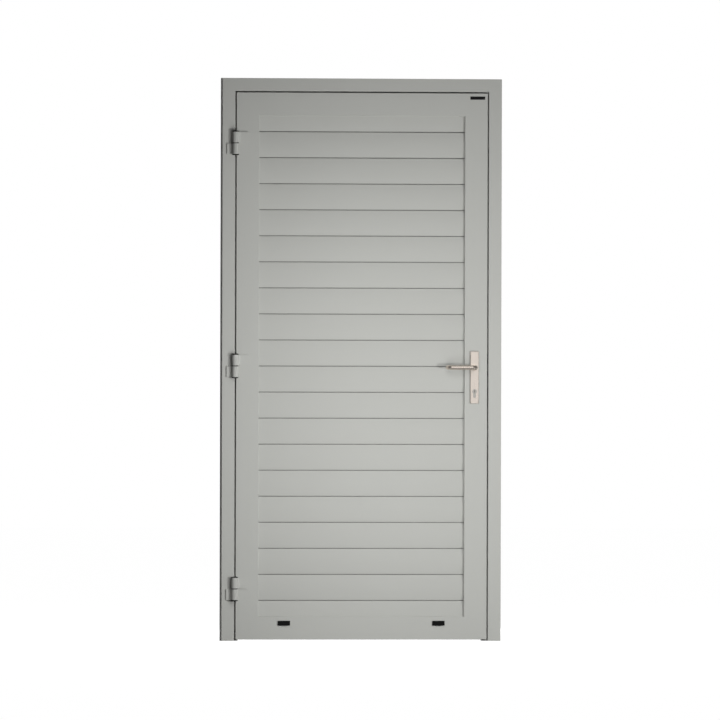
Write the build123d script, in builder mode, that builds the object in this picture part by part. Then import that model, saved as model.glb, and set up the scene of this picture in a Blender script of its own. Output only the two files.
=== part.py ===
from build123d import *
import math
import os

# Utility door: a slatted aluminium leaf in a frame with two jambs and a header.
# Millimetres, +Z up. x runs from the hinge jamb's wall face towards the lock jamb,
# y runs into the building from the middle of the frame's depth, z starts at the ground.

# Frame
frame_width = 1085.0
frame_height = 2160.0
frame_face = 50.0
frame_depth = 50.0
frame_wall = 2.0
stop_reach = 20.0
stop_thickness = 3.5
seal_thickness = 1.5
seal_width = 10.0
edge_chamfer = 1.0
anchor_diameter = 11.0
anchor_count = 4
anchor_pitch = 580.0
anchor_first = 200.0

# Gaps round the leaf
hinge_gap = 5.0
lock_gap = 5.0
head_gap = 5.0
ground_gap = 5.0

# Leaf bars
leaf_thickness = 40.0
leaf_face = 88.0
leaf_wall = 2.0
channel_depth = 12.0

# Slats
slat_pitch = 100.0
slat_crown = 18.0
slat_edge = 10.0
slat_wall = 1.5
slat_side_play = 0.2
slat_end_play = 2.0
shadow_gap = 3.5
tongue_thickness = 2.4
tongue_play = 0.2
groove_depth = 5.0

# Hinges
hinge_end_distance = 194.5
hinge_axis_inset = 1.0
hinge_axis_stand = 14.5
knuckle_radius = 12.5
knuckle_height = 41.0
wing_thickness = 5.0
wing_blend = 9.0
leaf_wing_reach = 51.0
frame_wing_reach = 32.0
pin_radius = 6.0
pin_running_gap = 0.05
hinge_cap_height = 4.0
washer_thickness = 3.2
washer_radius = 12.0
washer_running_gap = 0.2
pin_end_gap = 2.0

# Lock
backset = 50.0
lever_height = 1051.0
cylinder_drop = 92.0
forend_width = 24.0
forend_height = 235.0
forend_thickness = 3.0
forend_play = 0.2
forend_drop = 51.0
case_width = 66.0
case_height = 165.0
case_thickness = 16.0
case_play = 0.5
latch_width = 13.0
latch_height = 32.0
bolt_height = 38.0
bolt_drop = 57.0
nose_gap = 0.8
nose_groove = 1.5
strike_thickness = 2.0
strike_height = 200.0
strike_clearance = 2.0

# Profile cylinder
cylinder_radius = 8.5
cylinder_web = 10.0
cylinder_height = 33.0
cylinder_proud = 1.5
cylinder_play = 0.25
keyway_width = 2.2
keyway_height = 9.0
keyway_depth = 12.0
cylinder_screw_radius = 2.5

# Handle
plate_width = 32.0
plate_height = 200.0
plate_thickness = 9.0
plate_drop = 38.0
plate_bevel = 1.0
lever_radius = 9.0
lever_running_gap = 0.05
lever_stand = 48.0
lever_reach = 106.5
lever_bend = 15.0
lever_return = 26.0
lever_base_gap = 0.5
collar_radius = 11.5
collar_height = 5.0
collar_gap = 0.3
spindle_size = 8.0
spindle_play = 0.1
spindle_socket = 12.0
hub_radius = 10.0
hub_running_gap = 0.05
spindle_hole_radius = 11.0

# Drain caps
drain_cap_width = 47.0
drain_cap_height = 19.0
drain_cap_depth = 5.0
drain_cap_wall = 1.5
drain_cap_crown = 1.5
drain_cap_spacing = 600.0
drain_cap_rise = 62.5
drain_slot_width = 30.0
drain_slot_height = 6.0

# Places that the sizes above lead to
front_y = -frame_depth / 2
stop_y = frame_depth / 2 - stop_thickness
leaf_left = frame_face + hinge_gap
leaf_right = frame_width - frame_face - lock_gap
leaf_bottom = ground_gap
leaf_top = frame_height - frame_face - head_gap
leaf_width = leaf_right - leaf_left
leaf_height = leaf_top - leaf_bottom
leaf_mid_x = (leaf_left + leaf_right) / 2
leaf_mid_y = front_y + leaf_thickness / 2
leaf_mid_z = (leaf_bottom + leaf_top) / 2
handle_x = leaf_right - backset
cylinder_z = lever_height - cylinder_drop
plate_z = lever_height - plate_drop
forend_z = lever_height - forend_drop
bolt_z = lever_height - bolt_drop
forend_groove = forend_width + 2 * forend_play
anchor_heights = [anchor_first + n * anchor_pitch for n in range(anchor_count)]

os.makedirs("parts", exist_ok=True)


def save(piece, label):
    """Labels a finished piece and writes it to its own file."""
    piece.part.label = label
    export_step(piece.part, f"parts/{label}.step")


def frame_section(plane):
    """Hollow frame bar with its stop lip. The plane's x runs from the wall to the leaf."""
    with BuildSketch(plane) as section:
        with Locations((frame_face / 2, 0)):
            Rectangle(frame_face, frame_depth)
        chamfer(section.vertices(), edge_chamfer)
        with Locations((frame_face, leaf_mid_y)):
            Rectangle(2 * strike_thickness, forend_groove, mode=Mode.SUBTRACT)
        offset(amount=-frame_wall, kind=Kind.INTERSECTION, mode=Mode.SUBTRACT)
        with Locations((frame_face - frame_wall, stop_y)):
            Rectangle(stop_reach + frame_wall, stop_thickness, align=(Align.MIN, Align.MIN))
    return section.sketch


def leaf_section(plane):
    """Hollow leaf bar with a slat channel. The plane's x runs from the leaf's edge inwards."""
    with BuildSketch(plane) as section:
        with Locations((leaf_face / 2, leaf_mid_y)):
            Rectangle(leaf_face, leaf_thickness)
        chamfer(section.vertices(), edge_chamfer)
        with Locations((0, leaf_mid_y)):
            Rectangle(2 * forend_thickness, forend_groove, mode=Mode.SUBTRACT)
        with Locations((leaf_face, leaf_mid_y)):
            Rectangle(2 * channel_depth, slat_crown + 2 * slat_side_play, mode=Mode.SUBTRACT)
        offset(amount=-leaf_wall, kind=Kind.INTERSECTION, mode=Mode.SUBTRACT)
    return section.sketch


def cylinder_section(plane, margin):
    """Keyhole outline of the profile cylinder, larger by the margin all round."""
    radius = cylinder_radius + margin
    web = cylinder_web + 2 * margin
    web_end = cylinder_radius - cylinder_height + cylinder_web / 2
    with BuildSketch(plane) as section:
        Circle(radius)
        with Locations((0, web_end / 2)):
            Rectangle(web, -web_end)
        with Locations((0, web_end)):
            Circle(web / 2)
    return section.sketch


# Planes that look at the door from the front, and mitre planes at the corners
cylinder_plane = Plane(origin=(handle_x, 0, cylinder_z), x_dir=(1, 0, 0), z_dir=(0, -1, 0))
lever_plane = Plane(origin=(handle_x, 0, lever_height), x_dir=(1, 0, 0), z_dir=(0, -1, 0))
lock_edge = Plane(origin=(leaf_right, leaf_mid_y, 0), x_dir=(0, 1, 0), z_dir=(1, 0, 0))
frame_mitre_hinge = Plane(origin=(0, 0, frame_height), z_dir=(1, 0, 1))
frame_mitre_lock = Plane(origin=(frame_width, 0, frame_height), z_dir=(-1, 0, 1))
leaf_mitres = {
    "top hinge": Plane(origin=(leaf_left, 0, leaf_top), z_dir=(1, 0, 1)),
    "top lock": Plane(origin=(leaf_right, 0, leaf_top), z_dir=(-1, 0, 1)),
    "bottom hinge": Plane(origin=(leaf_left, 0, leaf_bottom), z_dir=(1, 0, -1)),
    "bottom lock": Plane(origin=(leaf_right, 0, leaf_bottom), z_dir=(-1, 0, -1)),
}

# Frame bars
anchor_plane = Plane(origin=(0, 0, 0), x_dir=(0, 1, 0), z_dir=(1, 0, 0))
anchor_points = [(leaf_mid_y, height) for height in anchor_heights]

with BuildPart() as hinge_jamb:
    extrude(frame_section(Plane.XY), amount=frame_height)
    split(bisect_by=frame_mitre_hinge, keep=Keep.BOTTOM)
    with BuildSketch(anchor_plane):
        with Locations(*anchor_points):
            Circle(anchor_diameter / 2)
    extrude(amount=frame_face, mode=Mode.SUBTRACT)
save(hinge_jamb, "hinge_jamb")

with BuildPart() as lock_jamb:
    jamb_plane = Plane(origin=(frame_width, 0, frame_height), x_dir=(-1, 0, 0), z_dir=(0, 0, -1))
    extrude(frame_section(jamb_plane), amount=frame_height)
    split(bisect_by=frame_mitre_lock, keep=Keep.BOTTOM)
    with BuildSketch(anchor_plane.offset(frame_width)):
        with Locations(*anchor_points):
            Circle(anchor_diameter / 2)
    extrude(amount=-frame_face, mode=Mode.SUBTRACT)
    with BuildSketch(anchor_plane.offset(frame_width - frame_face)):
        with Locations((leaf_mid_y, lever_height)):
            Rectangle(latch_width + 2 * strike_clearance, latch_height + 2 * strike_clearance)
        with Locations((leaf_mid_y, bolt_z)):
            Rectangle(latch_width + 2 * strike_clearance, bolt_height + 2 * strike_clearance)
    extrude(amount=strike_thickness + frame_wall, mode=Mode.SUBTRACT)
save(lock_jamb, "lock_jamb")

with BuildPart() as header:
    header_plane = Plane(origin=(0, 0, frame_height), x_dir=(0, 0, -1), z_dir=(1, 0, 0))
    extrude(frame_section(header_plane), amount=frame_width)
    split(bisect_by=frame_mitre_hinge, keep=Keep.TOP)
    split(bisect_by=frame_mitre_lock, keep=Keep.TOP)
save(header, "header")

seal_inset = frame_face + stop_reach / 2 + seal_width / 2
with BuildPart() as frame_seal:
    with BuildSketch(Plane.XZ.offset(-stop_y)):
        with Locations((frame_width / 2, 0)):
            seal_span = frame_width - 2 * seal_inset
            Rectangle(
                seal_span + 2 * seal_width,
                frame_height - seal_inset + seal_width,
                align=(Align.CENTER, Align.MIN),
            )
            Rectangle(
                seal_span,
                frame_height - seal_inset,
                align=(Align.CENTER, Align.MIN),
                mode=Mode.SUBTRACT,
            )
    extrude(amount=seal_thickness)
save(frame_seal, "frame_seal")

strike_plane = anchor_plane.offset(frame_width - frame_face)
with BuildPart() as strike_plate:
    with BuildSketch(strike_plane):
        with Locations((leaf_mid_y, forend_z)):
            Rectangle(forend_width, strike_height)
        with Locations((leaf_mid_y, lever_height)):
            Rectangle(
                latch_width + strike_clearance, latch_height + strike_clearance, mode=Mode.SUBTRACT
            )
        with Locations((leaf_mid_y, bolt_z)):
            Rectangle(
                latch_width + strike_clearance, bolt_height + strike_clearance, mode=Mode.SUBTRACT
            )
    extrude(amount=strike_thickness)
save(strike_plate, "strike_plate")

# Leaf bars
with BuildPart() as hinge_stile:
    extrude(leaf_section(Plane(origin=(leaf_left, 0, leaf_bottom))), amount=leaf_height)
    split(bisect_by=leaf_mitres["top hinge"], keep=Keep.BOTTOM)
    split(bisect_by=leaf_mitres["bottom hinge"], keep=Keep.BOTTOM)
save(hinge_stile, "hinge_stile")

with BuildPart() as lock_stile:
    stile_plane = Plane(origin=(leaf_right, 0, leaf_top), x_dir=(-1, 0, 0), z_dir=(0, 0, -1))
    extrude(leaf_section(stile_plane), amount=leaf_height)
    split(bisect_by=leaf_mitres["top lock"], keep=Keep.BOTTOM)
    split(bisect_by=leaf_mitres["bottom lock"], keep=Keep.BOTTOM)
    with BuildSketch(lock_edge):
        with Locations((0, forend_z)):
            Rectangle(case_thickness + 2 * case_play, case_height + 2 * case_play)
    extrude(amount=-(forend_thickness + leaf_wall), mode=Mode.SUBTRACT)
    with BuildSketch(lever_plane):
        Circle(spindle_hole_radius)
    extrude(amount=leaf_thickness, both=True, mode=Mode.SUBTRACT)
    extrude(
        cylinder_section(cylinder_plane, cylinder_play),
        amount=leaf_thickness,
        both=True,
        mode=Mode.SUBTRACT,
    )
save(lock_stile, "lock_stile")

with BuildPart() as top_rail:
    rail_plane = Plane(origin=(leaf_left, 0, leaf_top), x_dir=(0, 0, -1), z_dir=(1, 0, 0))
    extrude(leaf_section(rail_plane), amount=leaf_width)
    split(bisect_by=leaf_mitres["top hinge"], keep=Keep.TOP)
    split(bisect_by=leaf_mitres["top lock"], keep=Keep.TOP)
save(top_rail, "top_rail")

drain_centres = [
    (leaf_mid_x - drain_cap_spacing / 2, leaf_bottom + drain_cap_rise),
    (leaf_mid_x + drain_cap_spacing / 2, leaf_bottom + drain_cap_rise),
]
leaf_front = Plane(origin=(0, front_y, 0), x_dir=(1, 0, 0), z_dir=(0, -1, 0))
with BuildPart() as bottom_rail:
    rail_plane = Plane(origin=(leaf_right, 0, leaf_bottom), x_dir=(0, 0, 1), z_dir=(-1, 0, 0))
    extrude(leaf_section(rail_plane), amount=leaf_width)
    split(bisect_by=leaf_mitres["bottom hinge"], keep=Keep.TOP)
    split(bisect_by=leaf_mitres["bottom lock"], keep=Keep.TOP)
    with BuildSketch(leaf_front):
        with Locations(*drain_centres):
            SlotOverall(drain_slot_width, drain_slot_height)
    extrude(amount=-leaf_wall, mode=Mode.SUBTRACT)
save(bottom_rail, "bottom_rail")

# Slats, hooked together by tongue and groove and cut to fit the channels at both ends
opening_left = leaf_left + leaf_face
opening_right = leaf_right - leaf_face
slat_left = opening_left - channel_depth + slat_end_play
slat_length = opening_right + channel_depth - slat_end_play - slat_left
channel_sill = leaf_bottom + leaf_face - channel_depth
channel_lintel = leaf_top - leaf_face + channel_depth
whole_slats = math.floor((channel_lintel - channel_sill) / slat_pitch) - 1
first_joint = leaf_mid_z - whole_slats * slat_pitch / 2
last_joint = leaf_mid_z + whole_slats * slat_pitch / 2
slat_low = shadow_gap / 2
slat_high = slat_pitch - shadow_gap / 2


def slat_section(base):
    """Double curved hollow slat on this base height, with a tongue on top and a groove below.

    Both lie near the slat's inner side, so that the joint shows outside as a deep shadow gap.
    """
    plane = Plane(origin=(slat_left, leaf_mid_y, base), x_dir=(0, 1, 0), z_dir=(1, 0, 0))
    half_edge = slat_edge / 2
    half_crown = slat_crown / 2
    groove_width = tongue_thickness + 2 * tongue_play
    tongue_place = half_edge - slat_wall - groove_width / 2
    with BuildSketch(plane) as section:
        with BuildLine():
            front = ThreePointArc(
                (-half_edge, slat_low), (-half_crown, slat_pitch / 2), (-half_edge, slat_high)
            )
            back = ThreePointArc(
                (half_edge, slat_high), (half_crown, slat_pitch / 2), (half_edge, slat_low)
            )
            Line(front @ 1, back @ 0)
            Line(back @ 1, front @ 0)
        make_face()
        offset(amount=-slat_wall, kind=Kind.INTERSECTION, mode=Mode.SUBTRACT)
        with Locations((tongue_place, slat_low)):
            Rectangle(
                groove_width + 2 * slat_wall,
                groove_depth + slat_wall,
                align=(Align.CENTER, Align.MIN),
            )
            Rectangle(
                groove_width, groove_depth, align=(Align.CENTER, Align.MIN), mode=Mode.SUBTRACT
            )
        with Locations((tongue_place, slat_high - slat_wall)):
            Rectangle(
                tongue_thickness,
                slat_wall + shadow_gap + groove_depth,
                align=(Align.CENTER, Align.MIN),
            )
    return section.sketch


for number in range(1, whole_slats + 1):
    with BuildPart() as slat:
        extrude(slat_section(first_joint + (number - 1) * slat_pitch), amount=slat_length)
    save(slat, f"slat_{number:02d}")

with BuildPart() as bottom_slat:
    extrude(slat_section(first_joint - slat_pitch), amount=slat_length)
    split(bisect_by=Plane.XY.offset(channel_sill), keep=Keep.TOP)
save(bottom_slat, "bottom_slat")

with BuildPart() as top_slat:
    extrude(slat_section(last_joint), amount=slat_length)
    split(bisect_by=Plane.XY.offset(channel_lintel - slat_end_play), keep=Keep.BOTTOM)
save(top_slat, "top_slat")

# Hinges: a knuckle and wing on the frame below, one on the leaf above, round a fixed pin
hinge_x = frame_face - hinge_axis_inset
hinge_y = front_y - hinge_axis_stand
hinge_joint_gap = washer_thickness + washer_running_gap
hinge_height = 2 * (hinge_cap_height + knuckle_height) + hinge_joint_gap
hinge_bottoms = [
    leaf_bottom + hinge_end_distance - hinge_height / 2,
    leaf_mid_z - hinge_height / 2,
    leaf_top - hinge_end_distance - hinge_height / 2,
]
lower_knuckle = hinge_cap_height
lower_knuckle_top = lower_knuckle + knuckle_height
upper_knuckle = lower_knuckle_top + hinge_joint_gap
upper_knuckle_top = upper_knuckle + knuckle_height


def knuckle_section(plane, wing_from, wing_to, bore_radius):
    """Round knuckle whose flat wing lies on the door and blends into the barrel."""
    with BuildSketch(plane) as section:
        Circle(knuckle_radius)
        with Locations(((wing_from + wing_to) / 2, hinge_axis_stand - wing_thickness / 2)):
            Rectangle(abs(wing_to - wing_from), wing_thickness)
        root_height = hinge_axis_stand - wing_thickness
        root_reach = math.copysign(math.sqrt(knuckle_radius**2 - root_height**2), wing_to)
        root = section.vertices().sort_by_distance((root_reach, root_height, 0))[0]
        fillet(root, wing_blend)
        Circle(bore_radius, mode=Mode.SUBTRACT)
    return section.sketch


with BuildPart() as frame_hinges:
    for base in hinge_bottoms:
        knuckle_plane = Plane(origin=(hinge_x, hinge_y, base + lower_knuckle))
        extrude(
            knuckle_section(knuckle_plane, -hinge_axis_inset, -frame_wing_reach, pin_radius),
            amount=knuckle_height,
        )
save(frame_hinges, "frame_hinges")

leaf_bore = pin_radius + pin_running_gap
leaf_wing_root = hinge_axis_inset + hinge_gap
with BuildPart() as leaf_hinges:
    for base in hinge_bottoms:
        knuckle_plane = Plane(origin=(hinge_x, hinge_y, base + upper_knuckle))
        extrude(
            knuckle_section(knuckle_plane, leaf_wing_root, leaf_wing_reach, leaf_bore),
            amount=knuckle_height,
        )
save(leaf_hinges, "leaf_hinges")


def hinge_points(rise):
    """The points on the hinge axis that lie this far above the foot of each hinge."""
    return [(hinge_x, hinge_y, base + rise) for base in hinge_bottoms]


upright = (Align.CENTER, Align.CENTER, Align.MIN)
pin_length = hinge_height - 2 * hinge_cap_height - pin_end_gap
with BuildPart() as hinge_pins:
    with Locations(*hinge_points(lower_knuckle)):
        Cylinder(pin_radius, pin_length, align=upright)
save(hinge_pins, "hinge_pins")

with BuildPart() as hinge_washers:
    with Locations(*hinge_points(lower_knuckle_top)):
        Cylinder(washer_radius, washer_thickness, align=upright)
        Cylinder(pin_radius, washer_thickness, align=upright, mode=Mode.SUBTRACT)
save(hinge_washers, "hinge_washers")

with BuildPart() as hinge_foot_caps:
    with Locations(*hinge_points(0)):
        Cylinder(knuckle_radius, hinge_cap_height, align=upright)
save(hinge_foot_caps, "hinge_foot_caps")

with BuildPart() as hinge_head_caps:
    with Locations(*hinge_points(upper_knuckle_top)):
        Cylinder(knuckle_radius, hinge_cap_height, align=upright)
save(hinge_head_caps, "hinge_head_caps")

# Mortise lock: forend in the leaf's groove, case behind it, latch and bolt drawn back flush
hub_bore = hub_radius + hub_running_gap
screw_height = cylinder_z + cylinder_radius - cylinder_height / 2 - cylinder_web / 2
with BuildPart() as mortise_lock:
    with BuildSketch(lock_edge):
        with Locations((0, forend_z)):
            Rectangle(forend_width, forend_height)
    extrude(amount=-forend_thickness)
    with BuildSketch(lock_edge.offset(-forend_thickness)):
        with Locations((0, forend_z)):
            Rectangle(case_thickness, case_height)
    extrude(amount=-case_width)
    with BuildSketch(lock_edge):
        with Locations((0, lever_height)):
            Rectangle(latch_width, latch_height)
            Rectangle(latch_width - 2 * nose_gap, latch_height - 2 * nose_gap, mode=Mode.SUBTRACT)
        with Locations((0, bolt_z)):
            Rectangle(latch_width, bolt_height)
            Rectangle(latch_width - 2 * nose_gap, bolt_height - 2 * nose_gap, mode=Mode.SUBTRACT)
    extrude(amount=-nose_groove, mode=Mode.SUBTRACT)
    with BuildSketch(lever_plane):
        Circle(hub_bore)
    extrude(amount=leaf_thickness, both=True, mode=Mode.SUBTRACT)
    extrude(
        cylinder_section(cylinder_plane, cylinder_play),
        amount=leaf_thickness,
        both=True,
        mode=Mode.SUBTRACT,
    )
    with BuildSketch(lock_edge.offset(-forend_thickness)):
        with Locations((0, screw_height)):
            Circle(cylinder_screw_radius)
    extrude(amount=forend_thickness - backset)
save(mortise_lock, "mortise_lock")

cylinder_length = leaf_thickness + 2 * (plate_thickness + cylinder_proud)
cylinder_front = Plane(
    origin=(handle_x, leaf_mid_y - cylinder_length / 2, cylinder_z),
    x_dir=(1, 0, 0),
    z_dir=(0, -1, 0),
)
with BuildPart() as key_cylinder:
    extrude(cylinder_section(cylinder_front, 0), amount=-cylinder_length)
    for keyway_plane, depth in (
        (cylinder_front, -keyway_depth),
        (cylinder_front.offset(-cylinder_length), keyway_depth),
    ):
        with BuildSketch(keyway_plane):
            Rectangle(keyway_width, keyway_height)
        extrude(amount=depth, mode=Mode.SUBTRACT)
    with BuildSketch(lock_edge):
        with Locations((0, screw_height)):
            Circle(cylinder_screw_radius)
    extrude(amount=-backset, mode=Mode.SUBTRACT)
save(key_cylinder, "key_cylinder")

# Handle plates, each bored for its lever and cut for the cylinder
for side, label in ((-1, "outer_plate"), (1, "inner_plate")):
    face_y = leaf_mid_y + side * leaf_thickness / 2
    plate_plane = Plane(origin=(handle_x, face_y, plate_z), x_dir=(1, 0, 0), z_dir=(0, side, 0))
    with BuildPart() as plate:
        with BuildSketch(plate_plane):
            Rectangle(plate_width, plate_height)
        extrude(amount=plate_thickness)
        outer_face = plate.faces().sort_by(Axis.Y)[0 if side < 0 else -1]
        chamfer(outer_face.edges(), plate_bevel)
        with BuildSketch(lever_plane):
            Circle(lever_radius + lever_running_gap)
        extrude(amount=frame_depth, both=True, mode=Mode.SUBTRACT)
        extrude(
            cylinder_section(cylinder_plane, cylinder_play),
            amount=frame_depth,
            both=True,
            mode=Mode.SUBTRACT,
        )
    save(plate, label)


def lever_section(x, y, direction):
    """Round section of the lever's bar at a place along it, square to the way that it runs."""
    with BuildSketch(Plane(origin=(x, y, lever_height), z_dir=direction)) as section:
        Circle(lever_radius)
    return section.sketch


# Levers: a round bar that bends out of the door, along it and back towards it
near_bend_x = handle_x - lever_bend
far_bend_x = handle_x - lever_reach + lever_bend
for side, label in ((-1, "outer_lever"), (1, "inner_lever")):
    base_y = leaf_mid_y + side * (leaf_thickness / 2 + lever_base_gap)
    grip_y = leaf_mid_y + side * (leaf_thickness / 2 + lever_stand)
    bend_y = grip_y - side * lever_bend
    with BuildPart() as lever:
        extrude(lever_section(handle_x, base_y, (0, side, 0)), amount=abs(bend_y - base_y))
        near_bend = Axis((near_bend_x, bend_y, lever_height), (0, 0, side))
        revolve(lever_section(handle_x, bend_y, (0, side, 0)), axis=near_bend, revolution_arc=90)
        extrude(lever_section(near_bend_x, grip_y, (-1, 0, 0)), amount=near_bend_x - far_bend_x)
        far_bend = Axis((far_bend_x, bend_y, lever_height), (0, 0, side))
        revolve(lever_section(far_bend_x, grip_y, (-1, 0, 0)), axis=far_bend, revolution_arc=90)
        end_section = lever_section(handle_x - lever_reach, bend_y, (0, -side, 0))
        extrude(end_section, amount=lever_return - lever_bend)
        free_end = lever.faces().filter_by(Axis.Y).sort_by(Axis.X)[0]
        chamfer(free_end.edges(), edge_chamfer)
        lever_foot = Plane(origin=(handle_x, base_y, lever_height), z_dir=(0, side, 0))
        with BuildSketch(lever_foot.offset(plate_thickness - lever_base_gap + collar_gap)):
            Circle(collar_radius)
        extrude(amount=collar_height)
        if side < 0:
            with BuildSketch(lever_foot):
                Rectangle(spindle_size + 2 * spindle_play, spindle_size + 2 * spindle_play)
            extrude(amount=spindle_socket, mode=Mode.SUBTRACT)
        else:
            with BuildSketch(lever_foot):
                Rectangle(spindle_size, spindle_size)
            extrude(amount=-(leaf_thickness + 2 * lever_base_gap + spindle_socket))
            with BuildSketch(lever_plane.offset(-leaf_mid_y)):
                Circle(hub_radius)
            extrude(amount=case_thickness / 2, both=True)
    save(lever, label)

# Drain caps: small hoods over the drain slots, open below
with BuildPart() as drain_caps:
    for centre in drain_centres:
        cap_plane = Plane(origin=(centre[0], front_y, centre[1]), x_dir=(1, 0, 0), z_dir=(0, -1, 0))
        with BuildSketch(cap_plane):
            with BuildLine():
                half_width = drain_cap_width / 2
                half_height = drain_cap_height / 2
                Polyline(
                    (-half_width, drain_cap_crown - half_height),
                    (-half_width, half_height),
                    (half_width, half_height),
                    (half_width, drain_cap_crown - half_height),
                )
                ThreePointArc(
                    (half_width, drain_cap_crown - half_height),
                    (0, -half_height),
                    (-half_width, drain_cap_crown - half_height),
                )
            make_face()
        extrude(amount=drain_cap_depth)
        with BuildSketch(cap_plane):
            with Locations((0, -drain_cap_wall)):
                Rectangle(drain_cap_width - 2 * drain_cap_wall, drain_cap_height)
        extrude(amount=drain_cap_depth - drain_cap_wall, mode=Mode.SUBTRACT)
save(drain_caps, "drain_caps")
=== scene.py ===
import bpy
import math
from mathutils import Matrix, Vector


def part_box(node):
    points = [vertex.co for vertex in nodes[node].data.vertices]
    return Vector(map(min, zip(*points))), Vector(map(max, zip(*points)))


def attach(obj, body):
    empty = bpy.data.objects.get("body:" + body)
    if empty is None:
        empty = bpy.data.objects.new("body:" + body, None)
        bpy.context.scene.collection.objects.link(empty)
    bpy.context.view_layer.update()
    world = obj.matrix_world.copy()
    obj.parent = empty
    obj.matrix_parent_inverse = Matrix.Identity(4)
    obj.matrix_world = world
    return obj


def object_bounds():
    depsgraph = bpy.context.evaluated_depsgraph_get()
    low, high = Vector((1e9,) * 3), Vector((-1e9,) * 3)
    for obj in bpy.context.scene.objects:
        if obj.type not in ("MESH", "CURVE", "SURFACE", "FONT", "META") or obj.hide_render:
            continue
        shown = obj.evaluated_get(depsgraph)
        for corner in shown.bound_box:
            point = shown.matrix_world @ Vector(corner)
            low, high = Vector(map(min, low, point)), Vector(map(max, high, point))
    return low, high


# Utility door in its frame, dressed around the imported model. Metres, +Z up; the lever side that
# the photograph shows faces -Y.
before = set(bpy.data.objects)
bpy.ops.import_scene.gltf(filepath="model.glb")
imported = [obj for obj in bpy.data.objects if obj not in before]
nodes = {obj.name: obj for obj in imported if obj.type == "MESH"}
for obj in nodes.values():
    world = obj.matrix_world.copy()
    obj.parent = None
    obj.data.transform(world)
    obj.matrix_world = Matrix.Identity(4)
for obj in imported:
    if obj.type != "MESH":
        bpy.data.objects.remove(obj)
cad_low, cad_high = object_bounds()
bpy.ops.object.select_all(action="DESELECT")
scene = bpy.context.scene
scene.view_settings.view_transform = "Standard"

stile_low, stile_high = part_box("lock_stile")
inner_low, inner_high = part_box("inner_plate")
lock_low, lock_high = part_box("mortise_lock")
strike_low, strike_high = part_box("strike_plate")
leaf_front_y = stile_low.y
leaf_middle_y = (stile_low.y + stile_high.y) / 2


class Wire:
    """One output socket of a node tree. Sums on it add Math nodes."""

    def __init__(self, tree, socket=None):
        self.tree = tree
        self.socket = socket

    def add(self, kind, settings, inputs, output=0):
        """Adds and sets up a node, fills its sockets and returns one of its outputs."""
        node = self.tree.nodes.new(kind)
        for name, value in settings.items():
            setattr(node, name, value)
        for name, value in inputs.items():
            if isinstance(value, Wire):
                self.tree.links.new(value.socket, node.inputs[name])
            else:
                node.inputs[name].default_value = value
        return Wire(self.tree, node.outputs[output]) if node.outputs else None

    def beside(self, output):
        """Another output of the same node."""
        return Wire(self.tree, self.socket.node.outputs[output])

    def math(self, operation, first, second=0.0):
        return self.add("ShaderNodeMath", {"operation": operation}, {0: first, 1: second})

    def __add__(self, other):
        return self.math("ADD", self, other)

    def __radd__(self, other):
        return self.math("ADD", other, self)

    def __sub__(self, other):
        return self.math("SUBTRACT", self, other)

    def __rsub__(self, other):
        return self.math("SUBTRACT", other, self)

    def __mul__(self, other):
        return self.math("MULTIPLY", self, other)

    def __rmul__(self, other):
        return self.math("MULTIPLY", other, self)


# Materials
def new_material(name):
    """Starts a material. Returns it, the maker of its nodes and the Object coordinates."""
    material = bpy.data.materials.new(name)
    material.use_nodes = True
    material.node_tree.nodes.clear()
    maker = Wire(material.node_tree)
    return material, maker, maker.add("ShaderNodeTexCoord", {}, {}, "Object")


def close_material(maker, **sockets):
    """Feeds a Principled shader and joins it to the material's output."""
    inputs = {name.replace("_", " "): value for name, value in sockets.items()}
    shader = maker.add("ShaderNodeBsdfPrincipled", {}, inputs, "BSDF")
    maker.add("ShaderNodeOutputMaterial", {}, {"Surface": shader})


def noise(maker, place, scale, detail=2.0, roughness=0.5):
    """Grain of this many features to the metre, between 0 and 1."""
    inputs = {"Vector": place, "Scale": scale, "Detail": detail, "Roughness": roughness}
    return maker.add("ShaderNodeTexNoise", {}, inputs, 0)


def mixed(maker, factor, first, second):
    """A colour between two others."""
    return maker.add("ShaderNodeMix", {"data_type": "RGBA"}, {0: factor, 6: first, 7: second}, 2)


def bumped(maker, height, strength, distance):
    """Normal that a height field tips by this distance in metres."""
    inputs = {"Height": height, "Strength": strength, "Distance": distance}
    return maker.add("ShaderNodeBump", {}, inputs, "Normal")


def eased(maker, value, start, end):
    """0 below the start, 1 above the end and a smooth rise between."""
    inputs = {"Value": value, "From Min": start, "From Max": end}
    return maker.add("ShaderNodeMapRange", {"interpolation_type": "SMOOTHSTEP"}, inputs, 0)


def shade(colour, factor):
    """A colour made lighter or darker."""
    return tuple(channel * factor for channel in colour) + (1.0,)


def joint_shade_mask(maker, place):
    """Where the painted shade goes: 1 inside the joints between slats. 0 on their faces, which lie 5
    mm or more off the middle.
    """
    shaded_within, plain_from = 0.0038, 0.0049
    across = maker.add("ShaderNodeSeparateXYZ", {}, {"Vector": place}, "Y")
    off_middle = maker.math("ABSOLUTE", across - leaf_middle_y)
    return 1.0 - eased(maker, off_middle, shaded_within, plain_from)


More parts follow.
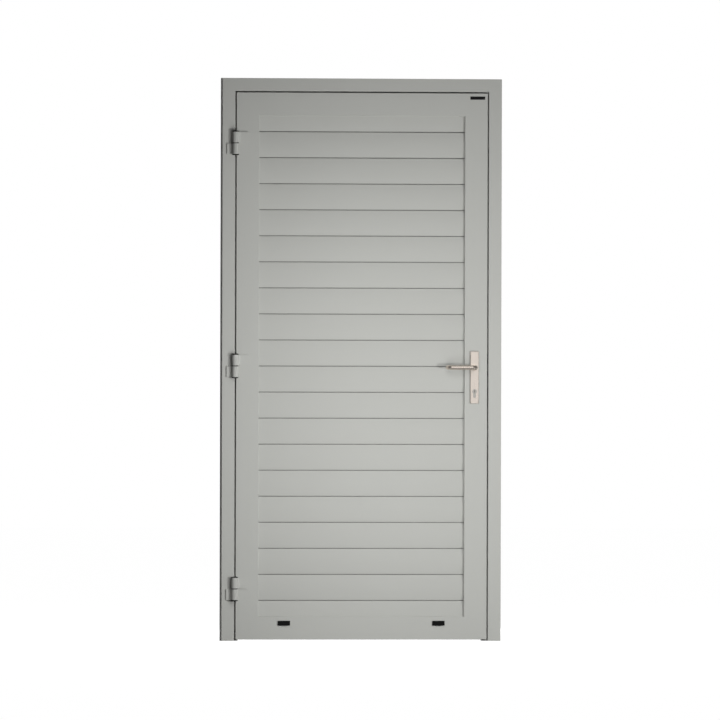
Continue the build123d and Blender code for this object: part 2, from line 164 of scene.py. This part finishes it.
def powder_coat(name, colour, peel, painted_joint_shade=0.0):
    """Satin powder coat: orange peel, fine speckle and a faint cloudiness over the bar.

    A slat's coat is painted darker inside the joints: a painted shade that stands in for the shadow
    in them.
    """
    speckles_to_a_metre, clouds_to_a_metre, peels_to_a_metre = 1400.0, 5.0, 420.0
    darkest, lightest = 0.965, 1.035
    speckle_share, cloud_share = 0.6, 0.4
    roughness, rougher_in_clouds, rougher_in_speckle = 0.54, 0.08, 0.06
    peel_height = 0.0004
    material, maker, place = new_material(name)
    speckle = noise(maker, place, speckles_to_a_metre, detail=1.0)
    clouds = noise(maker, place, clouds_to_a_metre, detail=3.0)
    share = speckle * speckle_share + clouds * cloud_share
    tone = mixed(maker, share, shade(colour, darkest), shade(colour, lightest))
    # Painted shade: the coat is darkened inside the joints, where shadow falls.
    if painted_joint_shade:
        painted_shade = shade(colour, 1.0 - painted_joint_shade)
        tone = mixed(maker, joint_shade_mask(maker, place), tone, painted_shade)
    orange_peel = noise(maker, place, peels_to_a_metre)
    close_material(
        maker,
        Base_Color=tone,
        Roughness=roughness + clouds * rougher_in_clouds + speckle * rougher_in_speckle,
        Specular_IOR_Level=0.2,
        Normal=bumped(maker, orange_peel, peel, peel_height),
    )
    return material


def black_polymer(name, colour, roughness, pores_to_a_metre):
    """Black moulded plastic or rubber with a matt grain."""
    darkest, lightest = 0.8, 1.25
    rougher_in_pores, pore_strength, pore_depth = 0.15, 0.35, 0.0003
    material, maker, place = new_material(name)
    pores = noise(maker, place, pores_to_a_metre, detail=3.0)
    close_material(
        maker,
        Base_Color=mixed(maker, pores, shade(colour, darkest), shade(colour, lightest)),
        Roughness=roughness + pores * rougher_in_pores,
        Specular_IOR_Level=0.07,
        Normal=bumped(maker, pores, pore_strength, pore_depth),
    )
    return material


def brushed_metal(name, colour, lines_to_a_metre, roughness, line_strength):
    """Satin metal. Its fine lines run along the axis that has the fewest of them to a metre."""
    haze_to_a_metre = 30.0
    darkest, lightest = 0.93, 1.05
    line_share, haze_share = 0.7, 0.3
    rougher_in_lines, rougher_in_haze, line_depth = 0.12, 0.06, 0.0002
    material, maker, place = new_material(name)
    across_lines = maker.add(
        "ShaderNodeMapping", {"vector_type": "POINT"}, {"Vector": place, "Scale": lines_to_a_metre}
    )
    lines = noise(maker, across_lines, scale=1.0, detail=4.0, roughness=0.6)
    haze = noise(maker, place, haze_to_a_metre)
    share = lines * line_share + haze * haze_share
    close_material(
        maker,
        Base_Color=mixed(maker, share, shade(colour, darkest), shade(colour, lightest)),
        Metallic=1.0,
        Roughness=roughness + lines * rougher_in_lines + haze * rougher_in_haze,
        Normal=bumped(maker, lines, line_strength, line_depth),
    )
    return material


coat_grey = (0.484, 0.489, 0.463)
frame_coat = powder_coat("frame_coat", coat_grey, peel=0.16)
# The slats' coat carries a painted shade, 40 percent darker, inside the joints.
slat_coat = powder_coat("slat_coat", coat_grey, peel=0.12, painted_joint_shade=0.4)
black_rubber = black_polymer(
    "black_rubber", (0.04, 0.04, 0.039), roughness=0.62, pores_to_a_metre=900.0
)
black_plastic = black_polymer(
    "black_plastic", (0.006, 0.006, 0.006), roughness=0.4, pores_to_a_metre=1200.0
)
badge_black = black_polymer(
    "badge_black", (0.009, 0.009, 0.009), roughness=0.35, pores_to_a_metre=800.0
)
plain_steel = brushed_metal(
    "plain_steel", (0.56, 0.56, 0.55), (300.0, 300.0, 9.0), roughness=0.32, line_strength=0.3
)
satin_handle = brushed_metal(
    "satin_handle", (0.8, 0.71, 0.63), (9.0, 260.0, 260.0), roughness=0.14, line_strength=0.15
)
satin_plate = brushed_metal(
    "satin_plate", (0.84, 0.755, 0.68), (300.0, 300.0, 9.0), roughness=0.2, line_strength=0.2
)
cylinder_metal = brushed_metal(
    "cylinder_metal", (0.62, 0.6, 0.56), (260.0, 40.0, 260.0), roughness=0.28, line_strength=0.2
)

finishes = {
    "frame_seal": black_rubber,
    "strike_plate": plain_steel,
    "hinge_pins": plain_steel,
    "hinge_washers": black_plastic,
    "hinge_foot_caps": black_plastic,
    "hinge_head_caps": black_plastic,
    "mortise_lock": plain_steel,
    "key_cylinder": cylinder_metal,
    "outer_plate": satin_plate,
    "inner_plate": satin_plate,
    "outer_lever": satin_handle,
    "inner_lever": satin_handle,
    "drain_caps": black_plastic,
}
for name, node in nodes.items():
    finish = slat_coat if "slat" in name else finishes.get(name, frame_coat)
    node.data.materials.clear()
    node.data.materials.append(finish)


# Small pieces that only show
def select_faces(piece, heading):
    """Leaves selected, in edit mode, the faces that look along a heading."""
    nearly = 0.9
    bpy.ops.object.mode_set(mode="OBJECT")
    for vertex in piece.data.vertices:
        vertex.select = False
    for edge in piece.data.edges:
        edge.select = False
    for face in piece.data.polygons:
        face.select = face.normal.dot(heading) > nearly
    bpy.ops.object.mode_set(mode="EDIT")
    bpy.ops.mesh.select_mode(type="FACE")


def finish_piece(piece, name, body, material):
    """Puts a piece's place in its mesh, names it, coats it and lets it ride on a body."""
    sharp_from = math.radians(35)
    bpy.ops.object.mode_set(mode="OBJECT")
    bpy.ops.object.transform_apply(location=True, rotation=True, scale=True)
    bpy.ops.object.shade_smooth_by_angle(angle=sharp_from)
    piece.name = name
    piece.data.name = name
    piece.data.materials.append(material)
    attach(piece, body)
    bpy.ops.object.select_all(action="DESELECT")


def blank_badge():
    """Small dark plate with broken edges and nothing on it, near the leaf's top corner."""
    width, height, thickness = 0.058, 0.012, 0.001
    side_inset, top_inset = 0.010, 0.012
    edge_break, rim, sink = 0.0004, 0.0008, 0.0002
    centre = (
        stile_high.x - side_inset - width / 2,
        leaf_front_y - thickness / 2,
        stile_high.z - top_inset - height / 2,
    )
    bpy.ops.mesh.primitive_cube_add(size=1.0, location=centre, scale=(width, thickness, height))
    badge = bpy.context.object
    bpy.ops.object.transform_apply(location=True, rotation=True, scale=True)
    edges = badge.modifiers.new("edges", "BEVEL")
    edges.width = edge_break
    edges.segments = 2
    edges.limit_method = "ANGLE"
    bpy.ops.object.modifier_apply(modifier=edges.name)
    select_faces(badge, Vector((0, -1, 0)))
    bpy.ops.mesh.inset(thickness=rim, depth=-sink)
    finish_piece(badge, "blank_badge", "leaf", badge_black)


def screw(name, place, direction, radius, body, material):
    """Low round screw head on a surface, with a round socket sunk in its face."""
    height = 0.0006
    rim, flat, socket_slope = radius * 0.12, radius * 0.42, radius * 0.06
    socket_depth = height * 0.7
    outwards = Vector(direction)
    bpy.ops.mesh.primitive_cylinder_add(
        vertices=24,
        radius=radius,
        depth=height,
        location=Vector(place) + outwards * height / 2,
        rotation=outwards.to_track_quat("Z", "Y").to_euler(),
    )
    head = bpy.context.object
    bpy.ops.object.transform_apply(location=True, rotation=True, scale=True)
    select_faces(head, outwards)
    bpy.ops.mesh.inset(thickness=rim, depth=0.0)
    bpy.ops.mesh.inset(thickness=flat, depth=0.0)
    bpy.ops.mesh.inset(thickness=socket_slope, depth=-socket_depth)
    finish_piece(head, name, body, material)


blank_badge()

plate_screw_radius, lock_screw_radius = 0.0042, 0.004
plate_screw_inset, forend_screw_inset, strike_screw_inset = 0.012, 0.012, 0.011
inner_x = (inner_low.x + inner_high.x) / 2
plate_heights = (inner_low.z + plate_screw_inset, inner_high.z - plate_screw_inset)
for number, height in enumerate(plate_heights, start=1):
    place = (inner_x, inner_high.y, height)
    label = f"inner_plate_screw_{number}"
    screw(label, place, (0, 1, 0), plate_screw_radius, "leaf", satin_plate)
forend_heights = (lock_low.z + forend_screw_inset, lock_high.z - forend_screw_inset)
for number, height in enumerate(forend_heights, start=1):
    place = (lock_high.x, leaf_middle_y, height)
    label = f"forend_screw_{number}"
    screw(label, place, (1, 0, 0), lock_screw_radius, "leaf", plain_steel)
strike_heights = (strike_low.z + strike_screw_inset, strike_high.z - strike_screw_inset)
for number, height in enumerate(strike_heights, start=1):
    place = (strike_low.x, leaf_middle_y, height)
    label = f"strike_screw_{number}"
    screw(label, place, (-1, 0, 0), lock_screw_radius, "frame", plain_steel)


# Floor, white surroundings, lamps and camera
def ray_kinds(maker):
    """1 for rays that show the white behind the door, and 1 for those that gloss sends out."""
    seen = maker.add("ShaderNodeLightPath", {}, {}, "Is Camera Ray")
    shown = maker.math("MAXIMUM", seen, seen.beside("Is Transmission Ray"))
    return shown, seen.beside("Is Glossy Ray")


def white_surroundings():
    """White to the camera. Metal sees a studio that is bright before and behind the door only.

    Matt surfaces get a low light from all round, most of it from the lever's side.
    """
    plain_level, lever_side_share = 0.13, 0.9
    dim_mirrored, bright_mirrored = 0.16, 1.36
    aside_from, aside_to = 0.2, 0.48
    before_from, before_to = 0.5, 0.92
    world = bpy.data.worlds.new("studio")
    scene.world = world
    world.use_nodes = True
    world.node_tree.nodes.clear()
    maker = Wire(world.node_tree)
    shown, gloss = ray_kinds(maker)
    heading = maker.add("ShaderNodeTexCoord", {}, {}, "Generated")
    towards_x = maker.add("ShaderNodeSeparateXYZ", {}, {"Vector": heading}, "X")
    towards_y = towards_x.beside("Y")
    aside = eased(maker, maker.math("ABSOLUTE", towards_x), aside_from, aside_to)
    before = eased(maker, maker.math("ABSOLUTE", towards_y), before_from, before_to)
    mirrored = dim_mirrored + before * (1.0 - aside) * bright_mirrored
    soft = (1.0 + towards_x * lever_side_share) * plain_level
    neither = 1.0 - maker.math("MAXIMUM", shown, gloss)
    strength = shown + gloss * mirrored + neither * soft
    light = maker.add("ShaderNodeBackground", {}, {"Color": (1, 1, 1, 1), "Strength": strength})
    maker.add("ShaderNodeOutputWorld", {}, {"Surface": light})


def floor():
    """Pale floor that looks white where it is lit and keeps the door's shadow."""
    width, middle_x, drop = 80.0, 0.5, 0.0005
    darker_grey, lighter_grey = (0.34, 0.34, 0.34, 1), (0.38, 0.38, 0.38, 1)
    glow_shown, glow_mirrored = 0.95, 0.1
    clouds_to_a_metre = 3.0
    bpy.ops.mesh.primitive_plane_add(size=width, location=(middle_x, 0.0, -drop))
    ground = bpy.context.object
    ground.name = "floor"
    material, maker, place = new_material("floor")
    shown, gloss = ray_kinds(maker)
    clouds = noise(maker, place, clouds_to_a_metre)
    matt_grey = mixed(maker, clouds, darker_grey, lighter_grey)
    matt = maker.add("ShaderNodeBsdfDiffuse", {}, {"Color": matt_grey})
    glow_strength = shown * glow_shown + gloss * glow_mirrored
    glow = maker.add("ShaderNodeEmission", {}, {"Strength": glow_strength})
    both = maker.add("ShaderNodeAddShader", {}, {0: matt, 1: glow})
    maker.add("ShaderNodeOutputMaterial", {}, {"Surface": both})
    ground.data.materials.append(material)


def soft_box(name, place, heading, width, height, watts):
    """Area lamp that shines along a heading. Metal doesn't mirror it."""
    data = bpy.data.lights.new(name, "AREA")
    data.shape = "RECTANGLE"
    data.size = width
    data.size_y = height
    data.energy = watts
    lamp = bpy.data.objects.new(name, data)
    lamp.location = place
    lamp.rotation_euler = Vector(heading).to_track_quat("-Z", "Y").to_euler()
    lamp.visible_glossy = False
    scene.collection.objects.link(lamp)


def place_camera():
    """Long lens far in front, level and a little to the left, as the photograph looks."""
    azimuth, roll = math.radians(-8.5), math.radians(0.15)
    distance, far_enough = 60.0, 200.0
    picture_pixels, sensor_width = 720, 36.0
    slat_scale, fit = 0.003846, 0.9988
    metres_to_a_pixel = slat_scale * fit
    back = Vector((math.sin(azimuth), -math.cos(azimuth), 0.0))
    turn = (-back).to_track_quat("-Z", "Y")
    right = turn @ Vector((1, 0, 0))
    up = turn @ Vector((0, 1, 0))
    # The middle of the door's front shows this many pixels right of and above the picture's.
    middle_right, middle_up = 1.8, 0.3
    middle = Vector(((cad_low.x + cad_high.x) / 2, leaf_front_y, cad_high.z / 2))
    target = middle - (right * middle_right + up * middle_up) * metres_to_a_pixel
    data = bpy.data.cameras.new("camera")
    data.sensor_width = sensor_width
    data.lens = distance / metres_to_a_pixel / picture_pixels * sensor_width
    data.clip_end = far_enough
    camera = bpy.data.objects.new("camera", data)
    camera.location = target + back * distance
    camera.rotation_mode = "QUATERNION"
    camera.rotation_quaternion = turn @ Matrix.Rotation(roll, 3, "Z").to_quaternion()
    scene.collection.objects.link(camera)
    scene.camera = camera


white_surroundings()
floor()
soft_box("near_light", (0.59, -1.34, 0.94), (0, 1, 0), width=0.8, height=1.8, watts=14.4)
soft_box("side_light", (3.0, -3.92, 0.6), (0, 1, 0), width=0.45, height=0.45, watts=82.0)
soft_box("back_light", (1.9, 2.6, 1.5), (-0.45, -1, -0.15), width=1.6, height=1.6, watts=60.0)
soft_box("top_light", (0.6, 0.7, 4.6), (0, -0.12, -1), width=1.4, height=0.8, watts=42.0)
place_camera()
